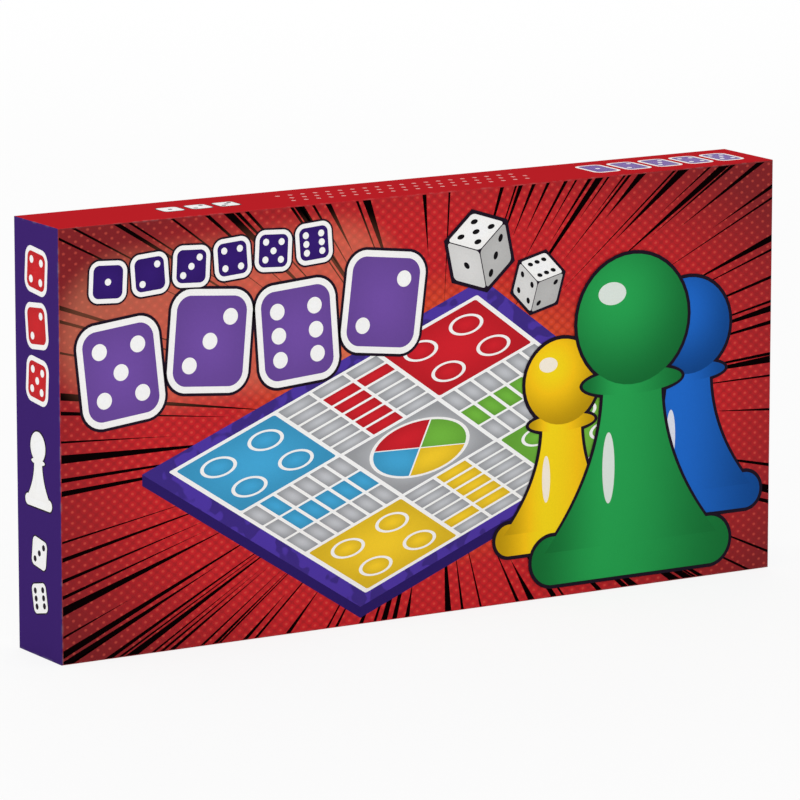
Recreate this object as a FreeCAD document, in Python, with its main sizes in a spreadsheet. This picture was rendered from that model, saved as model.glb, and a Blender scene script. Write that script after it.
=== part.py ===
import FreeCAD, Part
import math
import os
import Sketcher

Vector = FreeCAD.Vector

# Driving dimensions in millimetres
SIZES = (
    # folding board
    ("board_side", 360.0),
    ("board_corner", 3.0),
    ("leaf_core", 1.6),
    ("print_sheet", 0.25),
    ("tape_sheet", 0.2),
    ("tape_reach", 9.0),
    ("fold_slack", 0.2),
    ("crease_gap", 0.2),
    # box walls and the clearances between its two trays
    ("board_play", 1.5),
    ("base_wall", 1.8),
    ("base_floor", 1.8),
    ("lid_wall", 1.8),
    ("lid_panel", 1.8),
    ("slip_gap", 0.5),
    ("rim_gap", 0.4),
    ("wrap_round", 0.9),
    # card insert
    ("insert_sheet", 0.9),
    ("insert_play", 0.5),
    ("insert_fold", 1.2),
    ("trough_play", 3.0),
    ("trough_headroom", 2.5),
    # rules leaflet
    ("leaflet_width", 105.0),
    ("leaflet_height", 148.0),
    ("leaflet_sheet", 0.2),
    ("leaflet_slack", 0.1),
    ("leaflet_play", 1.5),
    # clear depth left between the flat layers
    ("stack_gap", 0.3),
    ("board_gap", 0.4),
    # pawns
    ("pawn_base", 13.0),
    ("pawn_height", 24.0),
    ("foot_height", 2.2),
    ("neck_radius", 2.7),
    ("head_radius", 4.5),
    ("pawn_gap", 0.6),
    # dice
    ("die_side", 15.0),
    ("die_flat", 7.0),
    ("die_gap", 1.0),
    ("pip_radius", 1.35),
    ("pip_depth", 0.35),
    ("pip_pitch", 3.7),
)

PAWN_COLOURS = ("red", "blue", "yellow", "green")
PAWN_ROWS = 2
PAWN_COLUMNS_PER_COLOUR = 2
PAWN_COLUMNS = PAWN_COLUMNS_PER_COLOUR * len(PAWN_COLOURS)
DICE = 2

# Sizes and places that follow from the driving dimensions
DERIVED = (
    ("leaf_height", "Sizes.board_side / 2 - Sizes.crease_gap"),
    ("leaf_thick", "Sizes.leaf_core + Sizes.print_sheet"),
    ("tape_thick", "2 * Sizes.tape_sheet + Sizes.fold_slack"),
    ("board_thick", "2 * Derived.leaf_thick + Derived.tape_thick"),
    ("base_inside_width", "Sizes.board_side + 2 * Sizes.board_play"),
    ("base_inside_height", "Sizes.board_side / 2 + 2 * Sizes.board_play"),
    ("base_width", "Derived.base_inside_width + 2 * Sizes.base_wall"),
    ("base_height", "Derived.base_inside_height + 2 * Sizes.base_wall"),
    ("lid_width", "Derived.base_width + 2 * Sizes.slip_gap + 2 * Sizes.lid_wall"),
    ("lid_height", "Derived.base_height + 2 * Sizes.slip_gap + 2 * Sizes.lid_wall"),
    ("pawn_pitch", "Sizes.pawn_base + Sizes.pawn_gap"),
    ("die_pitch", "Sizes.die_side + Sizes.die_gap"),
    ("pawns_width", f"{PAWN_COLUMNS} * Derived.pawn_pitch"),
    ("contents_width", f"Derived.pawns_width + {DICE} * Derived.die_pitch"),
    ("trough_width", "Derived.contents_width + 2 * Sizes.trough_play"),
    ("trough_depth", f"{PAWN_ROWS} * Derived.pawn_pitch + Sizes.trough_headroom"),
    ("insert_width", "Derived.base_inside_width - 2 * Sizes.insert_play"),
    ("insert_height", "Derived.trough_depth + Sizes.insert_sheet"),
    ("insert_length", "Derived.base_inside_height - Sizes.insert_play"),
    ("platform_width", "(Derived.insert_width - Derived.trough_width) / 2"),
    ("leaflet_thick", "2 * Sizes.leaflet_sheet + Sizes.leaflet_slack"),
    ("layers", "Derived.leaflet_thick + Derived.board_thick + 2 * Sizes.stack_gap + Sizes.board_gap"),
    ("box_depth", "Sizes.base_floor + Derived.insert_height + Derived.layers + Sizes.lid_panel"),
    ("base_depth", "Derived.box_depth - Sizes.lid_panel - Sizes.rim_gap"),
    ("shelf_z", "Sizes.lid_wall + Sizes.slip_gap + Sizes.base_wall"),
    ("floor_y", "Derived.box_depth / 2 - Sizes.base_floor"),
    ("trough_y", "Derived.floor_y - Sizes.insert_sheet"),
    ("leaflet_y", "Derived.floor_y - Derived.insert_height - Sizes.stack_gap"),
    ("board_y", "Derived.leaflet_y - Derived.leaflet_thick - Sizes.stack_gap"),
    ("fold_y", "Derived.board_y - Derived.leaf_thick - Derived.tape_thick / 2"),
    ("spine_z", "Derived.shelf_z + Sizes.board_side / 2"),
    ("die_ball", "sqrt((Sizes.die_side / 2) ^ 2 + Sizes.die_flat ^ 2)"),
    ("pip_ball", "(Sizes.pip_radius ^ 2 + Sizes.pip_depth ^ 2) / (2 * Sizes.pip_depth)"),
)

# Pips on each face of a die: the face's outward axis, its two in-plane axes and where the pips are
CORNER_PIPS = ((-1, -1), (1, -1), (-1, 1), (1, 1))
CENTRE_PIP = ((0, 0),)
DIAGONAL_PIPS = ((-1, -1), (1, 1))
SIDE_PIPS = ((-1, 0), (1, 0))
DIE_FACES = (
    ((0, 0, 1), (1, 0, 0), (0, 1, 0), CENTRE_PIP),
    ((0, -1, 0), (1, 0, 0), (0, 0, 1), DIAGONAL_PIPS),
    ((1, 0, 0), (0, 1, 0), (0, 0, 1), DIAGONAL_PIPS + CENTRE_PIP),
    ((-1, 0, 0), (0, 1, 0), (0, 0, 1), CORNER_PIPS),
    ((0, 1, 0), (1, 0, 0), (0, 0, 1), CORNER_PIPS + CENTRE_PIP),
    ((0, 0, -1), (1, 0, 0), (0, 1, 0), CORNER_PIPS + SIDE_PIPS),
)

# How the sketcher numbers a sketch's axes and an edge's points
H_AXIS, V_AXIS = (-1, -2)
START, END, CENTRE = (1, 2, 3)
TOLERANCE = 1e-6

doc = FreeCAD.newDocument("LudoBoardGame")
sheet = doc.addObject("Spreadsheet::Sheet", "Sizes")
for row, (name, value) in enumerate(SIZES, start=1):
    sheet.set(f"A{row}", str(value))
    sheet.setAlias(f"A{row}", name)
doc.recompute()

derived = doc.addObject("App::VarSet", "Derived")
for name, formula in DERIVED:
    derived.addProperty("App::PropertyFloat", name)
for name, formula in DERIVED:
    derived.setExpression(name, formula)
doc.recompute()

nodes = []
cuts = []


# Shared steps
def number(formula):
    """Return what a formula of the sheet's values comes to."""
    return float(derived.evalExpression(formula))


def place(item, x="0", y="0", z="0", turn=None):
    """Set an object's turn and bind the three coordinates of its place."""
    if turn:
        item.Placement = FreeCAD.Placement(Vector(), turn)
    for axis, formula in (("x", x), ("y", y), ("z", z)):
        item.setExpression("Placement.Base." + axis, formula)


def new_body(label):
    """Start a body whose label is its node's name."""
    body = doc.addObject("PartDesign::Body", label)
    body.Label = label
    return body


def new_sketch(body, name, role, shift_x=None, shift_y=None, lift=None):
    """Attach a sketch to one of the body's own origin planes, moved by up to three formulas."""
    sketch = body.newObject("Sketcher::SketchObject", name)
    support = [plane for plane in body.Origin.OriginFeatures if plane.Role == role]
    sketch.AttachmentSupport = (support[0], [""])
    sketch.MapMode = "FlatFace"
    for axis, formula in (("x", shift_x), ("y", shift_y), ("z", lift)):
        if formula:
            sketch.setExpression("AttachmentOffset.Base." + axis, formula)
    return sketch


def bind(sketch, name, formula, kind, *places):
    """Add a dimension to a sketch and bind it to a formula."""
    index = sketch.addConstraint(Sketcher.Constraint(kind, *places, number(formula)))
    sketch.renameConstraint(index, name)
    sketch.setExpression("Constraints." + name, formula)


def tie(sketch, kind, *places):
    """Add a constraint that has no size."""
    sketch.addConstraint(Sketcher.Constraint(kind, *places))


def line(sketch, start, end):
    """Add a straight edge between two (x, y) points and return its number."""
    return sketch.addGeometry(Part.LineSegment(Vector(*start, 0), Vector(*end, 0)))


def arc(sketch, centre, start, end):
    """Add the arc that goes round its centre from start to end, against the clock."""
    middle = Vector(*centre, 0)
    first = Vector(*start, 0) - middle
    last = Vector(*end, 0) - middle
    circle = Part.Circle(middle, Vector(0, 0, 1), first.Length)
    from_angle = math.atan2(first.y, first.x)
    to_angle = math.atan2(last.y, last.x)
    return sketch.addGeometry(Part.ArcOfCircle(circle, from_angle, to_angle))


def rectangle(sketch, width, height):
    """Draw a rectangle centred on the sketch's origin, its sides bound to two formulas."""
    right = number(width) / 2
    top = number(height) / 2
    corners = ((-right, -top), (right, -top), (right, top), (-right, top))
    edges = [line(sketch, corners[i], corners[(i + 1) % 4]) for i in range(4)]
    for i in range(4):
        tie(sketch, "Coincident", edges[i], END, edges[(i + 1) % 4], START)
        tie(sketch, ("Horizontal", "Vertical")[i % 2], edges[i])
    tie(sketch, "Symmetric", edges[0], START, edges[1], END, H_AXIS, START)
    bind(sketch, "width", width, "DistanceX", edges[0], START, edges[0], END)
    bind(sketch, "height", height, "DistanceY", edges[1], START, edges[1], END)


def folded_sheet(sketch, sheet_size, slack, reach):
    """Draw a sheet folded in two: two legs down from a half-round bend at the sketch's origin."""
    inner_formula = f"({slack}) / 2"
    outer_formula = f"({slack}) / 2 + {sheet_size}"
    inner = number(inner_formula)
    outer = number(outer_formula)
    foot = -number(reach)
    outer_bend = arc(sketch, (0, 0), (outer, 0), (-outer, 0))
    inner_bend = arc(sketch, (0, 0), (inner, 0), (-inner, 0))
    outer_right = line(sketch, (outer, 0), (outer, foot))
    outer_left = line(sketch, (-outer, 0), (-outer, foot))
    inner_right = line(sketch, (inner, 0), (inner, foot))
    inner_left = line(sketch, (-inner, 0), (-inner, foot))
    foot_right = line(sketch, (outer, foot), (inner, foot))
    foot_left = line(sketch, (-outer, foot), (-inner, foot))
    for bend, right, left in (
        (outer_bend, outer_right, outer_left),
        (inner_bend, inner_right, inner_left),
    ):
        tie(sketch, "Coincident", bend, CENTRE, H_AXIS, START)
        tie(sketch, "Coincident", bend, START, right, START)
        tie(sketch, "Coincident", bend, END, left, START)
        tie(sketch, "PointOnObject", bend, START, H_AXIS)
        tie(sketch, "PointOnObject", bend, END, H_AXIS)
        tie(sketch, "Vertical", right)
        tie(sketch, "Vertical", left)
    for foot_edge, outer_leg, inner_leg in (
        (foot_right, outer_right, inner_right),
        (foot_left, outer_left, inner_left),
    ):
        tie(sketch, "Coincident", foot_edge, START, outer_leg, END)
        tie(sketch, "Coincident", foot_edge, END, inner_leg, END)
        tie(sketch, "Horizontal", foot_edge)
    tie(sketch, "Equal", outer_right, outer_left)
    bind(sketch, "inner", inner_formula, "Radius", inner_bend)
    bind(sketch, "outer", outer_formula, "Radius", outer_bend)
    bind(sketch, "reach", reach, "DistanceY", outer_right, END, outer_right, START)


def pad(body, sketch, length):
    """Push a sketch out along its plane's normal."""
    feature = body.newObject("PartDesign::Pad", body.Label + "_pad")
    feature.Profile = sketch
    feature.setExpression("Length", length)
    doc.recompute()
    return feature


def pocket_through(body, sketch):
    """Cut a sketch through the body along its plane's normal."""
    feature = body.newObject("PartDesign::Pocket", sketch.Name + "_pocket")
    feature.Profile = sketch
    feature.Type = "ThroughAll"
    feature.Reversed = True
    doc.recompute()
    cuts.append(feature)
    return feature


def round_edges(body, base, radius, chosen):
    """Round each edge of a feature for which chosen(edge) holds."""
    names = [f"Edge{i}" for i, edge in enumerate(base.Shape.Edges, start=1) if chosen(edge)]
    feature = body.newObject("PartDesign::Fillet", body.Label + "_round")
    feature.Base = (base, names)
    feature.setExpression("Radius", radius)
    doc.recompute()
    return feature


def runs_along(edge, axis):
    """Tell whether an edge is straight and parallel to an axis."""
    return isinstance(edge.Curve, Part.Line) and abs(abs(edge.Curve.Direction.dot(axis)) - 1) < TOLERANCE


def on_value(value, wanted):
    """Tell whether two coordinates are the same."""
    return abs(value - wanted) < TOLERANCE


# Box
def tray(label, width, height, depth, wall, floor):
    """Make one tray of the box, open upwards, with its wrapped outer edges rounded."""
    body = new_body(label)
    outline = new_sketch(body, label + "_outline", "XY_Plane")
    rectangle(outline, width, height)
    block = pad(body, outline, depth)
    corner_or_floor = lambda edge: runs_along(edge, Vector(0, 0, 1)) or on_value(edge.BoundBox.ZMax, 0)
    round_edges(body, block, "Sizes.wrap_round", corner_or_floor)
    hollow = new_sketch(body, label + "_hollow", "XY_Plane", lift=floor)
    rectangle(hollow, f"{width} - 2 * {wall}", f"{height} - 2 * {wall}")
    pocket_through(body, hollow)
    return body


def make_box():
    """Make the lid, which opens to the back, and the base, which opens to the front inside it."""
    lid = tray(
        "box_lid", "Derived.lid_width", "Derived.lid_height", "Derived.box_depth",
        "Sizes.lid_wall", "Sizes.lid_panel",
    )
    to_back = FreeCAD.Rotation(Vector(1, 0, 0), -90)
    place(lid, y="-Derived.box_depth / 2", z="Derived.lid_height / 2", turn=to_back)
    base = tray(
        "box_base", "Derived.base_width", "Derived.base_height", "Derived.base_depth",
        "Sizes.base_wall", "Sizes.base_floor",
    )
    to_front = FreeCAD.Rotation(Vector(1, 0, 0), 90)
    place(base, y="Derived.box_depth / 2", z="Derived.lid_height / 2", turn=to_front)
    nodes.extend((lid, base))


def make_insert():
    """Make the folded card: two platforms that carry the board, and the trough between them."""
    body = new_body("card_insert")
    outline = new_sketch(body, "insert_outline", "XY_Plane")
    rectangle(outline, "Derived.insert_width", "Derived.insert_height")
    pad(body, outline, "Derived.insert_length")
    trough = new_sketch(body, "trough", "XY_Plane", shift_y="-Sizes.insert_sheet / 2")
    rectangle(trough, "Derived.trough_width", "Derived.trough_depth")
    pocket_through(body, trough)
    for name, side in (("left_void", -1), ("right_void", 1)):
        across = f"{side} * (Derived.trough_width + Derived.platform_width) / 2"
        # the void's own middle lies level with its platform's
        void = new_sketch(body, name, "XY_Plane", shift_x=across, shift_y="Sizes.insert_sheet / 2")
        rectangle(void, "Derived.platform_width - 2 * Sizes.insert_sheet", "Derived.trough_depth")
        last_cut = pocket_through(body, void)
    half_height = number("Derived.insert_height") / 2
    half_trough = number("Derived.trough_width") / 2
    sheet_size = number("Sizes.insert_sheet")

    def outer_fold(edge):
        """Tell whether an edge is the outer side of a fold of the card."""
        if not runs_along(edge, Vector(0, 0, 1)):
            return False
        spot = edge.CenterOfMass
        front_fold = on_value(spot.y, -half_height)
        back_fold = on_value(spot.y, half_height) and on_value(abs(spot.x), half_trough + sheet_size)
        return front_fold or back_fold

    round_edges(body, last_cut, "Sizes.insert_fold", outer_fold)
    place(body, y="Derived.floor_y - Derived.insert_height / 2", z="Derived.shelf_z")
    nodes.append(body)


# Board
def leaf_layer(label, thickness, back_y):
    """Make one flat layer of a board leaf, its two free corners rounded; the fold is at its top."""
    body = new_body(label)
    outline = new_sketch(body, label + "_outline", "XZ_Plane")
    rectangle(outline, "Sizes.board_side", "Derived.leaf_height")
    block = pad(body, outline, thickness)
    free_corner = lambda edge: runs_along(edge, Vector(0, 1, 0)) and edge.CenterOfMass.z < 0
    round_edges(body, block, "Sizes.board_corner", free_corner)
    place(body, y=back_y, z="Derived.shelf_z + Derived.leaf_height / 2")
    nodes.append(body)


def make_board():
    """Make the folded board: two greyboard leaves, their printed sheets inside, and the hinge tape."""
    leaf_layer("board_core_rear", "Sizes.leaf_core", "Derived.board_y")
    leaf_layer("board_print_rear", "Sizes.print_sheet", "Derived.board_y - Sizes.leaf_core")
    front_print_y = "Derived.fold_y - Derived.tape_thick / 2"
    leaf_layer("board_print_front", "Sizes.print_sheet", front_print_y)
    leaf_layer("board_core_front", "Sizes.leaf_core", front_print_y + " - Sizes.print_sheet")
    tape = new_body("board_hinge")
    profile = new_sketch(tape, "tape_profile", "YZ_Plane")
    folded_sheet(profile, "Sizes.tape_sheet", "Sizes.fold_slack", "Sizes.tape_reach")
    pad(tape, profile, "Sizes.board_side")
    bend_z = "Derived.spine_z - Derived.tape_thick / 2"
    place(tape, x="-Sizes.board_side / 2", y="Derived.fold_y", z=bend_z)
    nodes.append(tape)


def make_leaflet():
    """Make the folded rules leaflet, standing between the board and the left platform."""
    body = new_body("rules_leaflet")
    profile = new_sketch(body, "leaflet_profile", "XY_Plane")
    reach = "Sizes.leaflet_width - Derived.leaflet_thick / 2"
    folded_sheet(profile, "Sizes.leaflet_sheet", "Sizes.leaflet_slack", reach)
    pad(body, profile, "Sizes.leaflet_height")
    fold_x = "Sizes.leaflet_play + Derived.leaflet_thick / 2 - Derived.base_inside_width / 2"
    legs_to_right = FreeCAD.Rotation(Vector(0, 0, 1), 90)
    fold_y = "Derived.leaflet_y - Derived.leaflet_thick / 2"
    place(body, x=fold_x, y=fold_y, z="Derived.shelf_z", turn=legs_to_right)
    nodes.append(body)


# Playing pieces
def pawn_profile(sketch):
    """Draw half of a pawn: foot, cone, neck and ball head."""
    foot = number("Sizes.pawn_base / 2")
    foot_top = number("Sizes.foot_height")
    neck = number("Sizes.neck_radius")
    head = number("Sizes.head_radius")
    top = number("Sizes.pawn_height")
    neck_z = top - head - math.sqrt(head ** 2 - neck ** 2)

    rest = line(sketch, (0, 0), (foot, 0))
    foot_side = line(sketch, (foot, 0), (foot, foot_top))
    cone = line(sketch, (foot, foot_top), (neck, neck_z))
    head_arc = arc(sketch, (0, top - head), (neck, neck_z), (0, top))
    axis = line(sketch, (0, top), (0, 0))

    edges = (rest, foot_side, cone, head_arc, axis)
    for first, second in zip(edges, edges[1:]):
        tie(sketch, "Coincident", first, END, second, START)
    tie(sketch, "Coincident", axis, END, rest, START)
    tie(sketch, "Coincident", rest, START, H_AXIS, START)
    tie(sketch, "Horizontal", rest)
    tie(sketch, "Vertical", foot_side)
    tie(sketch, "Vertical", axis)
    tie(sketch, "PointOnObject", head_arc, CENTRE, V_AXIS)
    bind(sketch, "foot", "Sizes.pawn_base / 2", "DistanceX", rest, START, rest, END)
    bind(sketch, "foot_height", "Sizes.foot_height", "DistanceY", foot_side, START, foot_side, END)
    bind(sketch, "neck_radius", "Sizes.neck_radius", "DistanceX", rest, START, cone, END)
    bind(sketch, "head_radius", "Sizes.head_radius", "Radius", head_arc)
    bind(sketch, "pawn_height", "Sizes.pawn_height", "DistanceY", axis, END, axis, START)


def make_pawn(label, column, row):
    """Make a pawn that stands in its column and row of the trough; row 0 is at the back."""
    body = new_body(label)
    sketch = new_sketch(body, label + "_profile", "XZ_Plane")
    pawn_profile(sketch)
    turned = body.newObject("PartDesign::Revolution", label + "_turned")
    turned.Profile = sketch
    turned.ReferenceAxis = (sketch, ["V_Axis"])
    turned.Angle = 360
    x = f"({column} + 0.5) * Derived.pawn_pitch - Derived.contents_width / 2"
    y = f"Derived.trough_y - ({row} + 0.5) * Derived.pawn_pitch"
    place(body, x=x, y=y, z="Derived.shelf_z")
    nodes.append(body)


def make_pawns():
    """Make the pawns, each colour a block of the trough's columns and rows."""
    for block, colour in enumerate(PAWN_COLOURS):
        spots = [(column, row) for column in range(PAWN_COLUMNS_PER_COLOUR) for row in range(PAWN_ROWS)]
        for count, (column, row) in enumerate(spots, start=1):
            label = f"pawn_{colour}_{count}"
            make_pawn(label, block * PAWN_COLUMNS_PER_COLOUR + column, row)


def make_ball(label, radius, x="0", y="0", z="0"):
    """Make a ball of a bound radius at a bound place."""
    ball = doc.addObject("Part::Sphere", label)
    ball.setExpression("Radius", radius)
    place(ball, x=x, y=y, z=z)
    return ball


def make_pip(label, outward, across, up, spot):
    """Make the ball that sinks one pip into a face of a die centred on the origin."""
    out = "(Sizes.die_side / 2 - Sizes.pip_depth + Derived.pip_ball)"
    steps = [across[i] * spot[0] + up[i] * spot[1] for i in range(3)]
    x, y, z = [f"{outward[i]} * {out} + {steps[i]} * Sizes.pip_pitch" for i in range(3)]
    return make_ball(label, "Derived.pip_ball", x, y, z)


def make_die(label, count, turn):
    """Make a die, a cube rounded by a ball, with its pips sunk, beside the pawns on the same shelf."""
    cube = doc.addObject("Part::Box", label + "_cube")
    for side in ("Length", "Width", "Height"):
        cube.setExpression(side, "Sizes.die_side")
    corner = "-Sizes.die_side / 2"
    place(cube, x=corner, y=corner, z=corner)
    rounded = doc.addObject("Part::Common", label + "_rounded")
    rounded.Base = cube
    rounded.Tool = make_ball(label + "_ball", "Derived.die_ball")
    balls = []
    for outward, across, up, spots in DIE_FACES:
        for spot in spots:
            balls.append(make_pip(f"{label}_pip_{len(balls)}", outward, across, up, spot))
    pips = doc.addObject("Part::Compound", label + "_pips")
    pips.Links = balls
    die = doc.addObject("Part::Cut", label)
    die.Label = label
    die.Base = rounded
    die.Tool = pips
    x = f"Derived.pawns_width + ({count} + 0.5) * Derived.die_pitch - Derived.contents_width / 2"
    y = "Derived.trough_y - Derived.pawn_pitch"
    place(die, x=x, y=y, z="Derived.shelf_z + Sizes.die_side / 2", turn=turn)
    nodes.append(die)


def make_dice():
    """Make the two dice, each turned to show another face to the front."""
    make_die("die_1", 0, FreeCAD.Rotation(Vector(0, 0, 1), 180))
    make_die("die_2", 1, FreeCAD.Rotation(Vector(0, 1, 0), 90))


def check_model():
    """Raise if any object failed, a cut took nothing away or a node is no sound solid."""
    for item in doc.Objects:
        if {"Invalid", "Error"} & set(item.State):
            raise RuntimeError(f"{item.Label} failed: {item.State}")
    for cut in cuts:
        if cut.Shape.Volume >= cut.BaseFeature.Shape.Volume:
            raise RuntimeError(f"{cut.Label} cuts nothing")
    for node in nodes:
        if node.Shape.isNull() or not node.Shape.isValid() or len(node.Shape.Solids) != 1:
            raise RuntimeError(f"{node.Label} is not one sound solid")


make_box()
make_insert()
make_board()
make_leaflet()
make_pawns()
make_dice()
doc.recompute()
check_model()
os.makedirs("parts", exist_ok=True)
for node in nodes:
    node.Shape.exportStep(f"parts/{node.Label}.step")
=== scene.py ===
"""Ludo board game: a printed telescope box with its tray, folded board, pawns, dice and leaflet."""

import math
import random

import bmesh
import bpy
from bpy.props import FloatProperty, FloatVectorProperty, IntProperty, PointerProperty
from mathutils import Matrix, Vector


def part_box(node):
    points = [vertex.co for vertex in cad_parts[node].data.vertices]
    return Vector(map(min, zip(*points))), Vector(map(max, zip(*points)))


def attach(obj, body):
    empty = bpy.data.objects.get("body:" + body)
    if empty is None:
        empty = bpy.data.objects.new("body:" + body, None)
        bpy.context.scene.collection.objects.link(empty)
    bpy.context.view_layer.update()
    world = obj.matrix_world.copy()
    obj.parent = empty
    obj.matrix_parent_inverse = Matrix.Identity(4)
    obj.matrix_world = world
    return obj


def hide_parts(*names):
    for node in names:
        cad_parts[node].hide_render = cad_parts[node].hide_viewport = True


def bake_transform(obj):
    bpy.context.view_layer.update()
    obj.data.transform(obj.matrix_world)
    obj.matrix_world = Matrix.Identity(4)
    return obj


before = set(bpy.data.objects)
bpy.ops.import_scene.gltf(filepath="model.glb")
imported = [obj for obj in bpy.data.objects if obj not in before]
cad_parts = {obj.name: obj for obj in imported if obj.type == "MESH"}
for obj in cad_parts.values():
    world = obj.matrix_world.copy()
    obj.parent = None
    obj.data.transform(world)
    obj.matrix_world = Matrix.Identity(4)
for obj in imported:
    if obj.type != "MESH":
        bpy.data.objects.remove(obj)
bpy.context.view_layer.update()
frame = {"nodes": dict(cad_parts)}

bl_info = {
    "name": "Ludo Board Game",
    "version": (1, 0, 0),
    "blender": (4, 5, 0),
    "location": "View3D > Sidebar > Ludo",
    "description": "Builds a printed ludo box with its tray, board, pawns, dice and leaflet",
    "category": "Object",
}

MM = 0.001
# Points nearer than this, in metres, count as one
TINY = 1e-6
LID_LOW, LID_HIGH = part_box("box_lid")
BASE_LOW, BASE_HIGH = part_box("box_base")
SHEET_LOW, SHEET_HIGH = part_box("board_print_rear")
# Sizes of the lid and of a leaf's printed sheet, in millimetres, as all measures of the prints are
LID_WIDE, LID_DEEP, LID_TALL = (LID_HIGH - LID_LOW) / MM
SHEET_WIDE, SHEET_THICK, SHEET_TALL = (SHEET_HIGH - SHEET_LOW) / MM
# Ends of the line through the title tiles, across and up the lid's front
TITLE_LINE = ((34, 142), (138, 148))
# Pawns pictured on the lid's front, the rearmost first: across, up and height
PAWN_PICTURES = {"blue": (325, 30, 112), "yellow": (256, 22, 98), "green": (294, 6, 150)}

PLAYERS = ("red", "blue", "yellow", "green")
PAWNS_EACH = 4
# The board's course in its own units: a cross of four arms round a home, with a yard in each corner
COURSE = 15
ARM = COURSE / 3
ROWS = 6
AROUND = ("yellow", "green", "red", "blue")
# Layers of ink that the course is drawn in
BOARD_LAYERS = 5

# Places of the pips on a die face, in steps from its middle
PIPS = {
    1: ((0, 0),),
    2: ((-1, -1), (1, 1)),
    3: ((-1, -1), (0, 0), (1, 1)),
    4: ((-1, -1), (-1, 1), (1, -1), (1, 1)),
    5: ((-1, -1), (-1, 1), (0, 0), (1, -1), (1, 1)),
    6: ((-1, -1), (-1, 0), (-1, 1), (1, -1), (1, 0), (1, 1)),
}
# Inks of a plain white die face: its fill, its pips and rim, its outer line
WHITE_FACE = ("white", "outline", "outline")


# Values that a user would change

def srgb(*channels):
    """A colour as it looks on screen, 0 to 255 a channel, in the linear values that shaders take."""
    shares = [channel / 255 for channel in channels]
    return tuple(share / 12.92 if share <= 0.04045 else ((share + 0.055) / 1.055) ** 2.4 for share in shares)


def length(name, description, millimetres):
    return FloatProperty(name=name, description=description, default=millimetres * MM, unit="LENGTH",
                         min=0.0, precision=5)


def colour(name, description, default):
    return FloatVectorProperty(name=name, description=description, default=srgb(*default),
                               subtype="COLOR", size=3, min=0.0, max=1.0)


def angle(name, description, degrees):
    return FloatProperty(name=name, description=description, default=math.radians(degrees), subtype="ANGLE")


def power(name, description, watts):
    return FloatProperty(name=name, description=description, default=watts, subtype="POWER")


class LidSettings(bpy.types.PropertyGroup):
    """Sizes and colours of the printed lid."""

    wall: length("Board", "Thickness of the lid's board", 1.8)
    edge_radius: length("Edge radius", "Rounding of the wrapped outer edges", 0.9)
    rim_radius: length("Rim radius", "Rounding of the wrapped rim", 0.35)
    turn_in: length("Turn-in", "Printed paper folded over the rim to the inside", 15)
    film: length("Ink film", "Height of one layer of printed ink", 0.02)
    glow_across: length("Glow across", "Middle of the burst from the left edge", 191)
    glow_up: length("Glow up", "Middle of the burst from the lower edge", 88)
    glow_wide: length("Glow width", "Distance at which the burst is darkest, sideways", 217)
    glow_tall: length("Glow height", "Distance at which the burst is darkest, upwards", 138)
    halo: length("Halo", "Reach of the pale halo round the title tiles", 42)
    dot_across: length("Dots across", "Distance between the halftone dots of one row", 5.9)
    dot_up: length("Dots up", "Distance between every other row of halftone dots", 4.8)
    line_groups: IntProperty(name="Line groups", description="Groups of speed lines round the burst",
                             default=54, min=1)
    line_gap: length("Line gap", "Distance between the lines of a group, at the border", 6)
    line_seed: IntProperty(name="Line seed", description="Changes how the speed lines fall", default=7)
    glow: colour("Glow", "Middle of the burst", (226, 88, 40))
    red: colour("Red", "Ground of the burst", (200, 33, 39))
    deep_red: colour("Deep red", "Ground at the panel's edges", (126, 29, 33))
    dot: colour("Dots", "Halftone dots", (226, 92, 74))
    side_red: colour("Side red", "Top and bottom of the lid", (191, 33, 40))
    line: colour("Lines", "Speed lines", (10, 3, 4))
    end_indigo: colour("Ends", "Both end panels", (64, 39, 112))
    tile_purple: colour("Large tiles", "Large die faces", (110, 76, 158))
    tile_indigo: colour("Small tiles", "Small die faces", (52, 28, 108))
    white: colour("White ink", "Rims, pips and dice", (250, 249, 247))
    pale: colour("Halo colour", "Halo round the title tiles", (228, 142, 108))
    pink: colour("Pale ink", "Small dots on the lid's top", (226, 150, 146))
    # The outline colour is also the painted shade that darkens the lid's sides and ends towards the floor
    outline: colour("Outline", "Outer lines of the drawings", (30, 20, 34))
    lining: colour("Lining", "Unprinted board inside the lid", (196, 193, 186))


class BoardSettings(bpy.types.PropertyGroup):
    """Sizes and colours of the folded board and of its picture on the lid."""

    margin: length("Margin", "Coloured frame round the cells", 12)
    frame: colour("Frame", "Frame round the cells", (76, 52, 160))
    silver: colour("Cells", "Plain cells of the path", (178, 180, 184))
    red: colour("Red", "Red yard and lane", (200, 34, 44))
    blue: colour("Blue", "Blue yard and lane", (66, 160, 206))
    yellow: colour("Yellow", "Yellow yard and lane", (236, 196, 44))
    green: colour("Green", "Green yard and lane", (110, 176, 62))
    cover: colour("Cover", "Paper on the board's back", (48, 30, 96))
    greyboard: colour("Greyboard", "Cut edges of the board", (150, 144, 134))


class PieceSettings(bpy.types.PropertyGroup):
    """Colours of the playing pieces, the tray and the papers."""

    red: colour("Red", "Red pawns", (196, 26, 34))
    blue: colour("Blue", "Blue pawns", (28, 92, 178))
    yellow: colour("Yellow", "Yellow pawns", (240, 190, 24))
    green: colour("Green", "Green pawns", (34, 142, 70))
    dice: colour("Dice", "Body of the dice", (238, 236, 228))
    pip: colour("Pips", "Paint in the pips", (18, 17, 20))
    wrap: colour("Tray wrap", "Paper round the tray", (232, 230, 224))
    card: colour("Insert card", "Folded card in the tray", (224, 222, 214))
    paper: colour("Leaflet paper", "Paper of the leaflet", (240, 239, 234))
    foot_round: length("Foot rounding", "Rounding of a pawn's foot", 0.4)


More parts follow.
